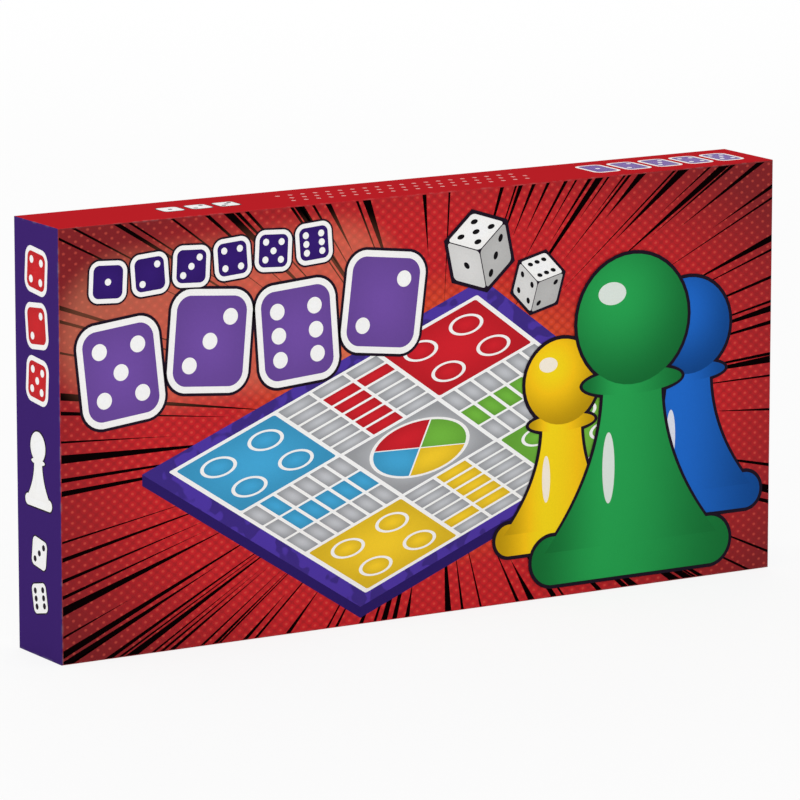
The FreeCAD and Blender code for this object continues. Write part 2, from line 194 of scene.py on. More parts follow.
class StageSettings(bpy.types.PropertyGroup):
    """Camera, floor and lights."""

    azimuth: angle("Azimuth", "Camera's turn about the vertical", -31.42)
    elevation: angle("Elevation", "Camera's angle above the floor", 11.06)
    distance: length("Distance", "From the camera to the aim point", 2566.5)
    aim: FloatVectorProperty(name="Aim", description="Point at the middle of the picture",
                             default=(-0.01491, -0.020, 0.09959), subtype="XYZ", unit="LENGTH")
    lens: FloatProperty(name="Lens", description="Focal length on a 36 mm sensor", default=260.5,
                        unit="CAMERA")
    floor: colour("Floor", "Floor and background", (255, 255, 255))
    sky: FloatProperty(name="Sky", description="Strength of the even light all round", default=0.62)
    key: power("Key", "Power of the main lamp", 26)
    fill: power("Fill", "Power of the side lamp", 9)
    back: power("Back", "Power of the lamp behind", 18)


SETTINGS = {"ludo_lid": LidSettings, "ludo_board": BoardSettings, "ludo_pieces": PieceSettings,
            "ludo_stage": StageSettings}


# Shader nodes

class Nodes:
    """Adds shader nodes to one tree and joins them as they are made."""

    def __init__(self, tree):
        self.tree = tree

    def feed(self, socket, value):
        if isinstance(value, bpy.types.NodeSocket):
            self.tree.links.new(value, socket)
        elif socket.type == "RGBA" and len(value) == 3:
            socket.default_value = (*value, 1.0)
        else:
            socket.default_value = value

    def add(self, kind, inputs=(), **settings):
        """A node whose inputs are given by name or number, or in a row from the first one."""
        node = self.tree.nodes.new("ShaderNode" + kind)
        for key, value in settings.items():
            setattr(node, key, value)
        for key, value in inputs.items() if isinstance(inputs, dict) else enumerate(inputs):
            self.feed(node.inputs[key], value)
        return node

    def math(self, operation, *values):
        return self.add("Math", values, operation=operation).outputs[0]

    def vector(self, operation, *values):
        outputs = self.add("VectorMath", values, operation=operation).outputs
        return outputs["Value" if operation in {"LENGTH", "DISTANCE", "DOT_PRODUCT"} else "Vector"]

    def scale(self, vector, share):
        return self.add("VectorMath", {"Vector": vector, "Scale": share}, operation="SCALE").outputs["Vector"]

    def split(self, vector):
        return self.add("SeparateXYZ", (vector,)).outputs

    def mix(self, factor, first, second):
        return self.add("Mix", {0: factor, 6: first, 7: second}, data_type="RGBA").outputs[2]

    def span(self, value, low, high, to_low=0.0, to_high=1.0):
        """Turns a value between low and high into one between to_low and to_high, held at both ends."""
        values = (value, low, high, to_low, to_high)
        return self.add("MapRange", values, interpolation_type="SMOOTHSTEP").outputs[0]

    def vary(self, noise, low, high, edge=0.3):
        """Spreads a noise, which lies mostly between edge and 1 - edge, from low to high."""
        return self.span(noise, edge, 1 - edge, low, high)

    def ramp(self, value, stops):
        node = self.add("ValToRGB", (value,))
        band = node.color_ramp.elements
        while len(band) < len(stops):
            band.new(1.0)
        for element, (place, shade) in zip(band, stops):
            element.position = place
            element.color = (*shade, 1.0)
        return node.outputs["Color"]

    def noise(self, vector, scale, detail):
        return self.add("TexNoise", {"Vector": vector, "Scale": scale, "Detail": detail}).outputs["Fac"]

    def point(self):
        return self.add("TexCoord").outputs["Object"]

    def group(self, name, **values):
        return self.add("Group", values, node_tree=bpy.data.node_groups[name]).outputs


def new_group(name, takes, gives):
    """Starts a shader node group and returns its node maker, its inputs and a function that ends it."""
    tree = bpy.data.node_groups.new(name, "ShaderNodeTree")
    for direction, sockets in (("INPUT", takes), ("OUTPUT", gives)):
        for socket, kind in sockets.items():
            tree.interface.new_socket(name=socket, in_out=direction, socket_type="NodeSocket" + kind)
    nodes = Nodes(tree)
    entry = tree.nodes.new("NodeGroupInput").outputs
    leave = tree.nodes.new("NodeGroupOutput").inputs

    def close(**results):
        for key, value in results.items():
            nodes.feed(leave[key], value)
    return nodes, entry, close


def surface_group(name, cloud_scale, grain_scale, detail, tint_cloud, tint_grain=(0, 0), rough_cloud=(0, 0),
                  rough_grain=(0, 0), stretch=(1, 1, 1)):
    """A surface with soft clouds and a fine grain, which is also its relief.

    Clouds and grain each give a share of the tint and a change of the roughness, from low to high. A third
    number is the edge of the noise, as in vary().
    """
    nodes, entry, close = new_group(name, {"Tint": "Color", "Roughness": "Float"},
                                    {"Tint": "Color", "Roughness": "Float", "Height": "Float"})
    cloud = nodes.noise(nodes.point(), cloud_scale, detail=3.0)
    grain = nodes.noise(nodes.vector("MULTIPLY", nodes.point(), stretch), grain_scale, detail)
    shade = nodes.math("ADD", nodes.vary(cloud, *tint_cloud), nodes.vary(grain, *tint_grain))
    change = nodes.math("ADD", nodes.vary(cloud, *rough_cloud), nodes.vary(grain, *rough_grain))
    close(Tint=nodes.scale(entry["Tint"], shade), Roughness=nodes.math("ADD", entry["Roughness"], change),
          Height=grain)


def edge_wear_group():
    """A mask along the edges of a box-shaped piece, broken up as rubbed paper is."""
    nodes, entry, close = new_group("edge_wear", {"Middle": "Vector", "Half": "Vector", "Width": "Float"},
                                    {"Wear": "Float"})
    point = nodes.point()
    away = nodes.vector("ABSOLUTE", nodes.vector("SUBTRACT", point, entry["Middle"]))
    x, y, z = nodes.split(nodes.vector("SUBTRACT", entry["Half"], away))
    nearer = nodes.math("MINIMUM", nodes.math("MAXIMUM", x, y), z)
    second = nodes.math("MAXIMUM", nodes.math("MINIMUM", x, y), nearer)
    edge = nodes.span(nodes.math("DIVIDE", second, entry["Width"]), 0.0, 1.0, 1.0, 0.0)
    rubbed = nodes.span(nodes.noise(point, scale=240.0, detail=4.0), 0.45, 0.7, 0.05, 1.0)
    close(Wear=nodes.math("MULTIPLY", edge, rubbed))


def title_halo_group(lid):
    """Lets a pale halo round the title tiles show in an ink."""
    nodes, entry, close = new_group("title_halo", {"Ink": "Color", "Amount": "Float"}, {"Ink": "Color"})
    start, end = [Vector((LID_LOW.x + across * MM, 0.0, LID_LOW.z + up * MM)) for across, up in TITLE_LINE]
    line = end - start
    along = nodes.vector("SUBTRACT", nodes.vector("MULTIPLY", nodes.point(), (1.0, 0.0, 1.0)), start)
    share = nodes.math("DIVIDE", nodes.vector("DOT_PRODUCT", along, line), line.length_squared)
    held = nodes.math("MINIMUM", nodes.math("MAXIMUM", share, 0.0), 1.0)
    away = nodes.vector("DISTANCE", along, nodes.scale(line, held))
    halo = nodes.span(away, 0.6 * lid.halo, lid.halo, 0.36, 0.0)
    close(Ink=nodes.mix(nodes.math("MULTIPLY", halo, entry["Amount"]), entry["Ink"], lid.pale))


def ink_shading_group():
    """Light and shade drawn into one ink shape, over the shape's own area."""
    takes = {"Ink": "Color", "Middle": "Float", "Roll": "Float", "Ball": "Float"}
    nodes, entry, close = new_group("ink_shading", takes, {"Ink": "Color"})
    area = nodes.add("UVMap", uv_map="ink_area").outputs["UV"]
    across = nodes.split(area)[0]
    middle, ball = [nodes.span(nodes.vector("DISTANCE", area, spot), 0.0, reach, 1.0, 0.0)
                    for spot, reach in (((0.5, 0.5, 0.0), 0.72), ((0.36, 0.68, 0.0), 0.78))]
    roll = nodes.math("MULTIPLY", nodes.span(across, 0.0, 0.36), nodes.span(across, 0.38, 1.05, 1.0, 0.0))
    shade, half_light, brightest = 1.0, 0.55, 0.95
    for mask, amount in ((middle, "Middle"), (roll, "Roll"), (ball, "Ball")):
        swing = nodes.math("MULTIPLY", nodes.math("SUBTRACT", mask, half_light), entry[amount])
        shade = nodes.math("ADD", shade, swing)
    close(Ink=nodes.vector("MINIMUM", nodes.scale(entry["Ink"], shade), (brightest,) * 3))


def build_groups(lid):
    """Shader groups of printed paper, moulded plastic, bare board, wear, halo and drawn shading."""
    surface_group("coated_paper", cloud_scale=38.0, grain_scale=1600.0, detail=3.0, tint_cloud=(0.99, 1.006),
                  tint_grain=(-0.02, 0.02), rough_cloud=(-0.05, 0.06), rough_grain=(-0.04, 0.04))
    surface_group("moulded_plastic", cloud_scale=140.0, grain_scale=900.0, detail=2.0,
                  tint_cloud=(0.93, 1.04), rough_cloud=(-0.05, 0.09))
    surface_group("fibre_board", cloud_scale=55.0, grain_scale=1500.0, detail=4.0, tint_cloud=(0.985, 1.012),
                  tint_grain=(-0.08, 0.05, 0.32), rough_grain=(-0.085, 0.085), stretch=(1.0, 1.0, 0.35))
    edge_wear_group()
    title_halo_group(lid)
    ink_shading_group()


# Materials

def dimmed(tint, share):
    return [channel * share for channel in tint]


class Finish(Nodes):
    """A material, with its nodes and the inputs of its Principled shader."""

    def __init__(self, name):
        self.material = bpy.data.materials.new(name)
        self.material.use_nodes = True
        super().__init__(self.material.node_tree)
        self.shader = self.tree.nodes["Principled BSDF"].inputs

    def surface(self, group, tint, roughness, relief, specular):
        """Feeds the shader from a surface group and returns the material."""
        made = self.group(group, Tint=tint, Roughness=roughness)
        normal = self.add("Bump", {"Height": made["Height"], "Distance": relief}).outputs["Normal"]
        for socket, value in (("Base Color", made["Tint"]), ("Roughness", made["Roughness"]),
                              ("Normal", normal), ("Specular IOR Level", specular)):
            self.feed(self.shader[socket], value)
        return self.material

    def paper(self, tint, roughness, specular=0.08):
        return self.surface("coated_paper", tint, roughness, relief=0.006 * MM, specular=specular)

    def board(self, tint):
        return self.surface("fibre_board", tint, roughness=0.865, relief=0.012 * MM, specular=0.2)

    def plastic(self, tint, roughness):
        self.shader["Subsurface Weight"].default_value = 0.06
        self.shader["Subsurface Radius"].default_value = (1.5 * MM, 1.0 * MM, 0.8 * MM)
        return self.surface("moulded_plastic", tint, roughness, relief=0.01 * MM, specular=0.5)

    def worn(self, ink, bare, low, high, width, amount):
        """Lets what lies under an ink show a little along the edges between two corners."""
        wear = self.group("edge_wear", Middle=(low + high) / 2, Half=(high - low) / 2, Width=width)["Wear"]
        return self.mix(self.math("MULTIPLY", wear, amount), ink, bare)

    def lid_paper(self, ink, lid, specular):
        rubbed = self.worn(ink, lid.white, LID_LOW, LID_HIGH, width=1.2 * MM, amount=0.08)
        return self.paper(rubbed, roughness=0.38, specular=specular)


def burst_material(lid):
    """Front print: a glow that darkens outwards, under rows of dots with darker diamonds between them."""
    front = Finish("lid_front_print")
    glow = (LID_LOW.x + lid.glow_across, LID_LOW.y, LID_LOW.z + lid.glow_up)
    away = front.vector("SUBTRACT", front.point(), glow)
    reach = (1 / lid.glow_wide, 0.0, 1 / lid.glow_tall)
    share = front.vector("LENGTH", front.vector("MULTIPLY", away, reach))
    ground = front.ramp(share, ((0.0, lid.glow), (0.3, lid.glow), (0.5, lid.red), (0.68, lid.red),
                                (1.0, lid.deep_red)))
    pitch = (lid.dot_across, 1.0, lid.dot_up)
    across, _, up = front.split(front.vector("DIVIDE", front.point(), pitch))
    steps = [front.math("FRACT", front.math(operation, across, up)) for operation in ("ADD", "SUBTRACT")]
    aside = front.add("CombineXYZ", [front.math("SUBTRACT", step, 0.5) for step in steps]).outputs[0]
    from_dot = front.vector("LENGTH", aside)
    ground = front.mix(front.span(from_dot, 0.3, 0.62, 0.0, 0.42), ground, lid.deep_red)
    fade = front.span(share, 0.1, 0.5, 0.24, 0.38)
    dot = front.math("MULTIPLY", front.span(from_dot, 0.08, 0.25, 1.0, 0.0), fade)
    ink = front.group("title_halo", Ink=front.mix(dot, ground, lid.dot), Amount=1.0)["Ink"]
    return front.lid_paper(ink, lid, specular=0.08)


def side_material(name, ink, lid):
    """A plainly coloured side of the lid, darkened a little towards the floor by painted shade."""
    side = Finish(name)
    height = side.split(side.point())[2]
    # Painted shade: the outline colour mixed in, a little at the floor and none at the top
    painted_shade = side.mix(side.span(height, LID_LOW.z, LID_HIGH.z, 0.06, 0.0), ink, lid.outline)
    return side.lid_paper(painted_shade, lid, specular=0.0)


def flat_ink(name, tint, **shading):
    """Ink of one colour, with light and shade drawn into each shape where wanted."""
    ink = Finish("ink_" + name)
    ink.paper(ink.group("ink_shading", Ink=tint, **shading)["Ink"], roughness=0.36, specular=0.02)


def build_inks(lid, board, pieces):
    """Makes the inks, which the prints take by name."""
    light_share = 0.72
    for name, tint, middle in (
            ("white", lid.white, 0.06), ("outline", lid.outline, 0.0), ("purple", lid.tile_purple, 0.22),
            ("indigo", lid.tile_indigo, 0.2), ("red", lid.red, 0.2), ("pink", lid.pink, 0.0),
            ("silver", board.silver, 0.55), ("frame_edge", dimmed(board.frame, 0.35), 0.0),
            ("die_light", lid.white, 0.08), ("die_middle", dimmed(lid.white, 0.72), 0.08),
            ("die_dark", dimmed(lid.white, 0.5), 0.08), ("pip", pieces.pip, 0.0)):
        flat_ink(name, tint, Middle=middle)
    for player in PLAYERS:
        flat_ink("yard_" + player, getattr(board, player), Middle=0.3)
    for player in PAWN_PICTURES:
        tint = getattr(pieces, player)
        flat_ink(player + "_roll", tint, Roll=0.75)
        flat_ink(player + "_ball", tint, Ball=0.85)
        flat_ink(player + "_light", [channel + (1 - channel) * light_share for channel in tint])
    line = Finish("ink_line")
    line.paper(line.group("title_halo", Ink=lid.line, Amount=0.45)["Ink"], roughness=0.36, specular=0.0)
    clouded = Finish("ink_frame")
    patches = clouded.span(clouded.noise(clouded.point(), scale=120.0, detail=1.0), 0.47, 0.53)
    clouded.paper(clouded.mix(patches, board.frame, dimmed(board.frame, 0.62)), roughness=0.36)


def wrap_material(name, tint, low, high):
    """Plain paper, wrapped or folded, rubbed along its edges."""
    wrap = Finish(name)
    rubbed = wrap.worn(tint, dimmed(tint, 0.72), low, high, width=1.4 * MM, amount=0.5)
    return wrap.paper(rubbed, roughness=0.5)


def leaf_material(name, board, low, high):
    """A leaf of the board: covering paper on its back and sides, greyboard where paper is rubbed."""
    leaf = Finish(name)
    rubbed = leaf.worn(board.cover, board.greyboard, low, high, width=0.9 * MM, amount=0.8)
    return leaf.paper(rubbed, roughness=0.48)


def die_material(name, pieces, low, high):
    """Die plastic, with paint wherever the surface lies below the faces and the rounded corners."""
    die = Finish(name)
    away = die.vector("SUBTRACT", die.point(), (low + high) / 2)
    x, y, z = die.split(die.vector("ABSOLUTE", away))
    face = (high.z - low.z) / 2
    flat_radius, below = 7.0 * MM, 0.04 * MM
    ball = math.hypot(face, flat_radius)
    under_face = die.math("LESS_THAN", die.math("MAXIMUM", die.math("MAXIMUM", x, y), z), face - below)
    under_ball = die.math("LESS_THAN", die.vector("LENGTH", away), ball - below)
    pip = die.math("MULTIPLY", under_face, under_ball)
    return die.plastic(die.mix(pip, pieces.dice, pieces.pip), roughness=0.2)


# Meshes

def linked(name, data):
    """A new object in the scene."""
    made = bpy.data.objects.new(name, data)
    bpy.context.scene.collection.objects.link(made)
    return made


def mesh_object(bm, name, materials):
    mesh = bpy.data.meshes.new(name)
    bm.to_mesh(mesh)
    bm.free()
    for material in materials:
        mesh.materials.append(material)
    return linked(name, mesh)


def finish_piece(bm, name, body, materials, replaced=()):
    """Makes a bmesh into a piece that rides on a body and stands for the CAD nodes named."""
    piece = mesh_object(bm, name, materials)
    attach(piece, body)
    if replaced:
        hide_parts(*replaced)


def dress_node(name, material):
    """Gives a CAD node whose shape is right its finish."""
    mesh = frame["nodes"][name].data
    mesh.materials.clear()
    mesh.materials.append(material)


def round_edges(bm, edges, radius, segments):
    """Rounds edges and shades the new faces smooth."""
    made = bmesh.ops.bevel(bm, geom=edges, offset=radius, offset_type="OFFSET", affect="EDGES",
                           segments=segments, profile=0.5, material=-1, clamp_overlap=True)
    for face in made["faces"]:
        face.smooth = True


def cut(bm, point, normal, clear_outer=False):
    bmesh.ops.bisect_plane(bm, geom=bm.verts[:] + bm.edges[:] + bm.faces[:], dist=TINY, plane_co=point,
                           plane_no=normal, clear_outer=clear_outer)


def tray_mesh(low, high, opening, lid):
    """A tray of board, open towards +Y or -Y, with wrapped edges and a turn-in line on its walls."""
    bm = bmesh.new()
    bmesh.ops.create_cube(bm, size=1.0)
    bmesh.ops.scale(bm, vec=high - low, verts=bm.verts)
    bmesh.ops.translate(bm, vec=(low + high) / 2, verts=bm.verts)
    mouth = max(bm.faces, key=lambda face: face.normal.y * opening)
    rim_y = mouth.calc_center_median().y
    outer_corners = set(bm.verts)
    bmesh.ops.inset_region(bm, faces=[mouth], thickness=lid.wall)
    well = bmesh.ops.extrude_discrete_faces(bm, faces=[mouth])["faces"][0]
    bmesh.ops.translate(bm, vec=(0.0, -opening * (high.y - low.y - lid.wall), 0.0), verts=well.verts)
    wrapped = [edge for edge in bm.edges if set(edge.verts) <= outer_corners
               and any(abs(vert.co.y - rim_y) > lid.wall for vert in edge.verts)]
    round_edges(bm, wrapped, lid.edge_radius, segments=4)
    rim = [edge for edge in bm.edges if all(abs(vert.co.y - rim_y) < TINY for vert in edge.verts)
           and edge.calc_face_angle(0.0) > 1.0]
    round_edges(bm, rim, lid.rim_radius, segments=2)
    cut(bm, (0.0, rim_y - opening * lid.turn_in, 0.0), (0.0, 1.0, 0.0))
    return bm


def inside_tray(face, low, high, wall):
    """True for a face of a tray's inner walls or floor."""
    middle = face.calc_center_median()
    x, y, z = [min(middle[axis] - low[axis], high[axis] - middle[axis]) for axis in range(3)]
    return min(x, z) > wall / 2 and not (abs(face.normal.y) > 0.9 and y < wall / 2)


# Ink shapes

class PanelPrint:
    """Flat ink shapes on one panel, in millimetres from its lower left corner, laid in layers.
    """

    def __init__(self, panel, film):
        self.panel = panel
        self.film = film
        self.inks = []
        self.bm = bmesh.new()
        self.area = self.bm.loops.layers.uv.new("ink_area")

    def stamp(self, verts, place, layer, ink):
        material = bpy.data.materials["ink_" + ink]
        if material not in self.inks:
            self.inks.append(material)
        low = [min(vert.co[axis] for vert in verts) for axis in (0, 1)]
        size = [max(vert.co[axis] for vert in verts) - low[axis] for axis in (0, 1)]
        for vert in verts:
            for loop in vert.link_loops:
                loop[self.area].uv = [(vert.co[axis] - low[axis]) / size[axis] for axis in (0, 1)]
                loop.face.material_index = self.inks.index(material)
            across, up = place(vert.co.x, vert.co.y)
            vert.co = (across * MM, up * MM, layer * self.film)

    def circle(self, radius, segments):
        return bmesh.ops.create_circle(self.bm, cap_ends=True, radius=radius, segments=segments)["verts"]

    def tile(self, width, height, radius, place, layer, ink, grow=0.0):
        """A tile with round corners: a circle whose four quarters are drawn apart."""
        segments = 32
        made = self.circle(radius + grow, segments)
        bmesh.ops.rotate(self.bm, verts=made, matrix=Matrix.Rotation(math.pi / segments, 3, "Z"))
        for vert in made:
            vert.co.x += math.copysign(width / 2 - radius, vert.co.x)
            vert.co.y += math.copysign(height / 2 - radius, vert.co.y)
        self.stamp(made, place, layer, ink)

    def disc(self, across, up, place, layer, ink):
        made = self.circle(1.0, segments=40)
        bmesh.ops.scale(self.bm, vec=(across, up, 1.0), verts=made)
        self.stamp(made, place, layer, ink)

    def strip(self, half_width, low, high, place, layer, ink, grow):
        """An upright shape whose half width at each height is given by a formula, and grown."""
        made = bmesh.ops.create_grid(self.bm, x_segments=2, y_segments=20, size=1.0)["verts"]
        for vert in made:
            height = low + (high - low) * (vert.co.y + 1) / 2
            vert.co = (vert.co.x * (half_width(height) + grow), height, 0.0)
        self.stamp(made, place, layer, ink)

    def patch(self, points, place, layer, ink):
        made = [self.bm.verts.new((*point, 0.0)) for point in points]
        self.bm.faces.new(made)
        self.stamp(made, place, layer, ink)

    def clip(self, low, high):
        """Cuts off what runs over the panel's edges."""
        for axis, way in enumerate((Vector((1.0, 0.0, 0.0)), Vector((0.0, 1.0, 0.0)))):
            cut(self.bm, way * low[axis] * MM, -way, clear_outer=True)
            cut(self.bm, way * high[axis] * MM, way, clear_outer=True)

    def make_films(self):
        made = bmesh.ops.extrude_face_region(self.bm, geom=self.bm.faces[:])["geom"]
        raised = [item for item in made if isinstance(item, bmesh.types.BMVert)]
        bmesh.ops.translate(self.bm, vec=(0.0, 0.0, self.film), verts=raised)
        bmesh.ops.recalc_face_normals(self.bm, faces=self.bm.faces)

    def finish(self, name, body="lid", slot="lid_print", replaced=()):
        self.make_films()
        bmesh.ops.transform(self.bm, matrix=self.panel, verts=self.bm.verts)
        finish_piece(self.bm, name, body, self.inks, replaced)


def panel_matrix(corner, right, up):
    """The panel with its lower left corner there, seen from outside."""
    right, up = Vector(right), Vector(up)
    matrix = Matrix((right, up, right.cross(up))).transposed().to_4x4()
    matrix.translation = corner
    return matrix


FRONT = panel_matrix(LID_LOW, (1, 0, 0), (0, 0, 1))
TOP = panel_matrix((LID_LOW.x, LID_LOW.y, LID_HIGH.z), (1, 0, 0), (0, 1, 0))
LEFT = panel_matrix((LID_LOW.x, LID_HIGH.y, LID_LOW.z), (0, -1, 0), (0, 0, 1))
RIGHT = panel_matrix((LID_HIGH.x, LID_LOW.y, LID_LOW.z), (0, 1, 0), (0, 0, 1))


def at(across, up, scale=1.0, turn=0.0):
    """Places a shape by its middle, its size and its turn in degrees."""
    cosine, sine = math.cos(math.radians(turn)), math.sin(math.radians(turn))
    return lambda x, y: (across + scale * (x * cosine - y * sine), up + scale * (x * sine + y * cosine))


def seen_in(place, near_left, near_right, far_right, far_left):
    """Places the unit square in four corners of a placed picture, as a flat thing seen in perspective."""
    (x0, y0), (x1, y1), (x2, y2), (x3, y3) = near_left, near_right, far_right, far_left
    sum_x, sum_y = x0 - x1 + x2 - x3, y0 - y1 + y2 - y3
    area = (x1 - x2) * (y3 - y2) - (x3 - x2) * (y1 - y2)
    g = (sum_x * (y3 - y2) - (x3 - x2) * sum_y) / area
    h = ((x1 - x2) * sum_y - sum_x * (y1 - y2)) / area

    def seen(s, t):
        deep = g * s + h * t + 1
        return place(((x1 - x0 + g * x1) * s + (x3 - x0 + h * x3) * t + x0) / deep,
                     ((y1 - y0 + g * y1) * s + (y3 - y0 + h * y3) * t + y0) / deep)
    return seen


def inside(place, across, up):
    """A picture whose middle lies there within a placed one."""
    return lambda x, y: place(across + x, up + y)


def turned(place, quarters):
    """The same picture after that many quarter turns."""
    cosine, sine = ((1, 0), (0, 1), (-1, 0), (0, -1))[quarters]
    return lambda x, y: place(x * cosine - y * sine, x * sine + y * cosine)


def draw_pips(print_, count, place, steps, radius, layer, ink):
    for across, up in PIPS[count]:
        print_.disc(radius, radius, inside(place, steps[0] * across, steps[1] * up), layer, ink)


def draw_tile(print_, count, size, place, layer, inks, rims):
    """A die face with an outer line and a rim, which stand out from its fill by the rims given."""
    fill, mark, outline = inks
    width, height = size
    corner, pip_step, pip_radius = 0.2 * width, 0.27, 0.105 * width
    for lift, (ink, grow) in enumerate(zip((outline, mark, fill), (*rims, 0.0))):
        print_.tile(width, height, corner, place, layer + lift, ink, grow)
    draw_pips(print_, count, place, (pip_step * width, pip_step * height), pip_radius, layer + 3, mark)


def draw_pawn(print_, place, layer, inks, line):
    """A pawn one unit tall: foot, flared skirt, collar and head, with a dark line round it all."""
    body, ball, light = inks

    def skirt(height):
        share = max(0.0, min(1.0, (height - 0.1) / 0.5))
        return 0.105 + 0.21 * (1 - share) ** 2.1

    foot, collar, head = [inside(place, 0.0, height) for height in (0.075, 0.6, 0.79)]
    passes = ((layer, line, 0.08, "outline", "outline"), (layer + 4, 0.0, 0.1, body, ball))
    for level, grow, skirt_low, ink, head_ink in passes:
        print_.tile(0.72, 0.15, 0.075, foot, level, ink, grow)
        print_.strip(skirt, skirt_low, 0.62, place, level + 1, ink, grow)
        print_.disc(0.18 + grow, 0.04 + grow, collar, level + 2, ink)
        print_.disc(0.2 + grow, 0.2 + grow, head, level + 3, head_ink)
    print_.disc(0.05, 0.035, inside(place, -0.075, 0.875), layer + 8, light)
    print_.disc(0.022, 0.11, inside(place, -0.085, 0.34), layer + 8, light)


def draw_die(print_, place, layer, faces):
    """A die seen corner on: three faces on a unit hexagon, each with its pips."""
    line, pip_step, pip_radius = 0.09, 0.26, 0.085
    turns = [math.radians(60 * step) for step in range(6)]
    corner = [(math.sin(turn), math.cos(turn)) for turn in turns]
    print_.patch([(x * (1 + line), y * (1 + line)) for x, y in corner], place, layer, "outline")
    centre = (0.0, 0.0)
    sides = ((corner[5], centre, corner[1], corner[0]), (corner[4], corner[3], centre, corner[5]),
             (corner[3], corner[2], corner[1], centre))
    for count, side, shade in zip(faces, sides, ("light", "middle", "dark")):
        face = inside(seen_in(place, *side), 0.5, 0.5)
        print_.tile(0.97, 0.97, 0.1, face, layer + 1, "die_" + shade)
        draw_pips(print_, count, face, (pip_step, pip_step), pip_radius, layer + 2, "pip")


def draw_board(print_, place, layer, margin):
    """The cross-shaped ludo course, in units of which the course has 15 a side."""
    middle = COURSE / 2
    cell_wide, cell_tall, gap = ARM / 3, ARM / ROWS, 0.16
    framed, ground = COURSE + 2 * margin, COURSE + 0.2
    centre = inside(place, middle, middle)
    print_.tile(framed, framed, 0.02, centre, layer, "frame")
    print_.tile(ground, ground, 0.1, centre, layer + 1, "white")
    for turn, player in enumerate(AROUND):
        quarter = turned(centre, turn)
        ink = "yard_" + player
        draw_yard(print_, inside(quarter, -ARM, -ARM), layer + 2, ink)
        for column in (-1, 0, 1):
            for row in range(ROWS):
                lane = (column == 0 and row > 0) or (column == -1 and row == 1)
                cell_ink = ink if lane else "silver"
                spot = inside(quarter, column * cell_wide, (row + 0.5) * cell_tall - middle)
                print_.tile(cell_wide - gap, cell_tall - gap, 0.04, spot, layer + 2, cell_ink)
        draw_home(print_, quarter, layer + 2, ink)


def draw_yard(print_, place, layer, ink):
    """A yard with its four ringed waiting places."""
    side, step = ARM - 0.24, 0.23 * ARM
    print_.tile(side, side, 0.12, place, layer, ink)
    draw_pips(print_, 4, place, (step, step), 0.15 * ARM, layer + 1, "white")
    draw_pips(print_, 4, place, (step, step), 0.12 * ARM, layer + 2, ink)


def draw_home(print_, place, layer, ink):
    """The near quarter of the home: a silver ground and a rimmed wedge of its round."""
    near, tip = ARM / 2 - 0.12, 0.12
    print_.patch([(-near, -near), (near, -near), (tip, -tip), (-tip, -tip)], place, layer, "silver")
    arc = [math.radians(225 + 90 * step / 12) for step in range(13)]
    for lift, radius, gap, wedge_ink in ((1, 0.44 * ARM, 0.0, "white"), (2, 0.4 * ARM, 0.05, ink)):
        rim = [(radius * math.cos(turn), radius * math.sin(turn) - gap) for turn in arc]
        print_.patch([(0.0, -gap), *rim], place, layer + lift, wedge_ink)


# Operators

class LUDO_OT_lid_shell(bpy.types.Operator):
    """Wraps the lid's board in printed paper"""
    bl_idname = "ludo.lid_shell"
    bl_label = "Lid"

    def execute(self, context):
        lid = context.scene.ludo_lid
        bm = tray_mesh(LID_LOW, LID_HIGH, 1, lid)
        front, side, end, lining = range(4)
        for face in bm.faces:
            x, y, z = face.normal
            if inside_tray(face, LID_LOW, LID_HIGH, lid.wall):
                turned_in = face.calc_center_median().y > LID_HIGH.y - lid.turn_in
                face.material_index = (end if abs(x) > 0.5 else side) if turned_in else lining
            elif y < -0.7:
                face.material_index = front
            else:
                face.material_index = end if abs(x) > abs(z) else side
        materials = [burst_material(lid), side_material("lid_side_print", lid.side_red, lid),
                     side_material("lid_end_print", lid.end_indigo, lid),
                     Finish("lid_lining").board(lid.lining)]
        finish_piece(bm, "lid_shell", "lid", materials, ["box_lid"])
        return {"FINISHED"}


class LUDO_OT_speed_lines(bpy.types.Operator):
    """Prints groups of tapering lines that run in from the lid's edges"""
    bl_idname = "ludo.speed_lines"
    bl_label = "Speed lines"

    def execute(self, context):
        lid = context.scene.ludo_lid
        print_ = PanelPrint(FRONT, lid.film)
        chance = random.Random(lid.line_seed)
        glow = Vector((lid.glow_across, lid.glow_up)) / MM
        step = 2 * (LID_WIDE + LID_TALL) / lid.line_groups
        # Most lines are near the thin end
        thin, thicker, thinning = 1.0, 3.0, 1.8
        for group in range(lid.line_groups):
            first = step * (group + chance.uniform(0.0, 0.5))
            for line in range(chance.randint(1, 3)):
                gap = line * lid.line_gap / MM * chance.uniform(0.7, 1.3)
                edge = self.border_point(first + gap) - glow
                thick = thin + thicker * chance.random() ** thinning
                self.taper(print_, glow, edge, chance.uniform(0.42, 0.82), thick)
        inset = 0.6 * lid.edge_radius / MM
        print_.clip((inset, inset), (LID_WIDE - inset, LID_TALL - inset))
        print_.finish("lid_speed_lines")
        return {"FINISHED"}

    def border_point(self, distance):
        """The point that far round the panel's border from its lower left corner."""
        distance %= 2 * (LID_WIDE + LID_TALL)
        point = Vector((0, 0))
        for way, run in (((1, 0), LID_WIDE), ((0, 1), LID_TALL), ((-1, 0), LID_WIDE), ((0, -1), LID_TALL)):
            point += Vector(way) * min(distance, run)
            distance = max(0.0, distance - run)
        return point

    def taper(self, print_, glow, edge, tip_share, thick):
        """One line: a point inside, and its full thickness where it meets the border, which cuts it."""
        beyond = 1.4
        half = thick / 2 * (beyond - tip_share) / (1 - tip_share)
        side = Vector((-edge.y, edge.x)).normalized() * half
        print_.patch((edge * tip_share, edge * beyond - side, edge * beyond + side), at(*glow), 0, "line")


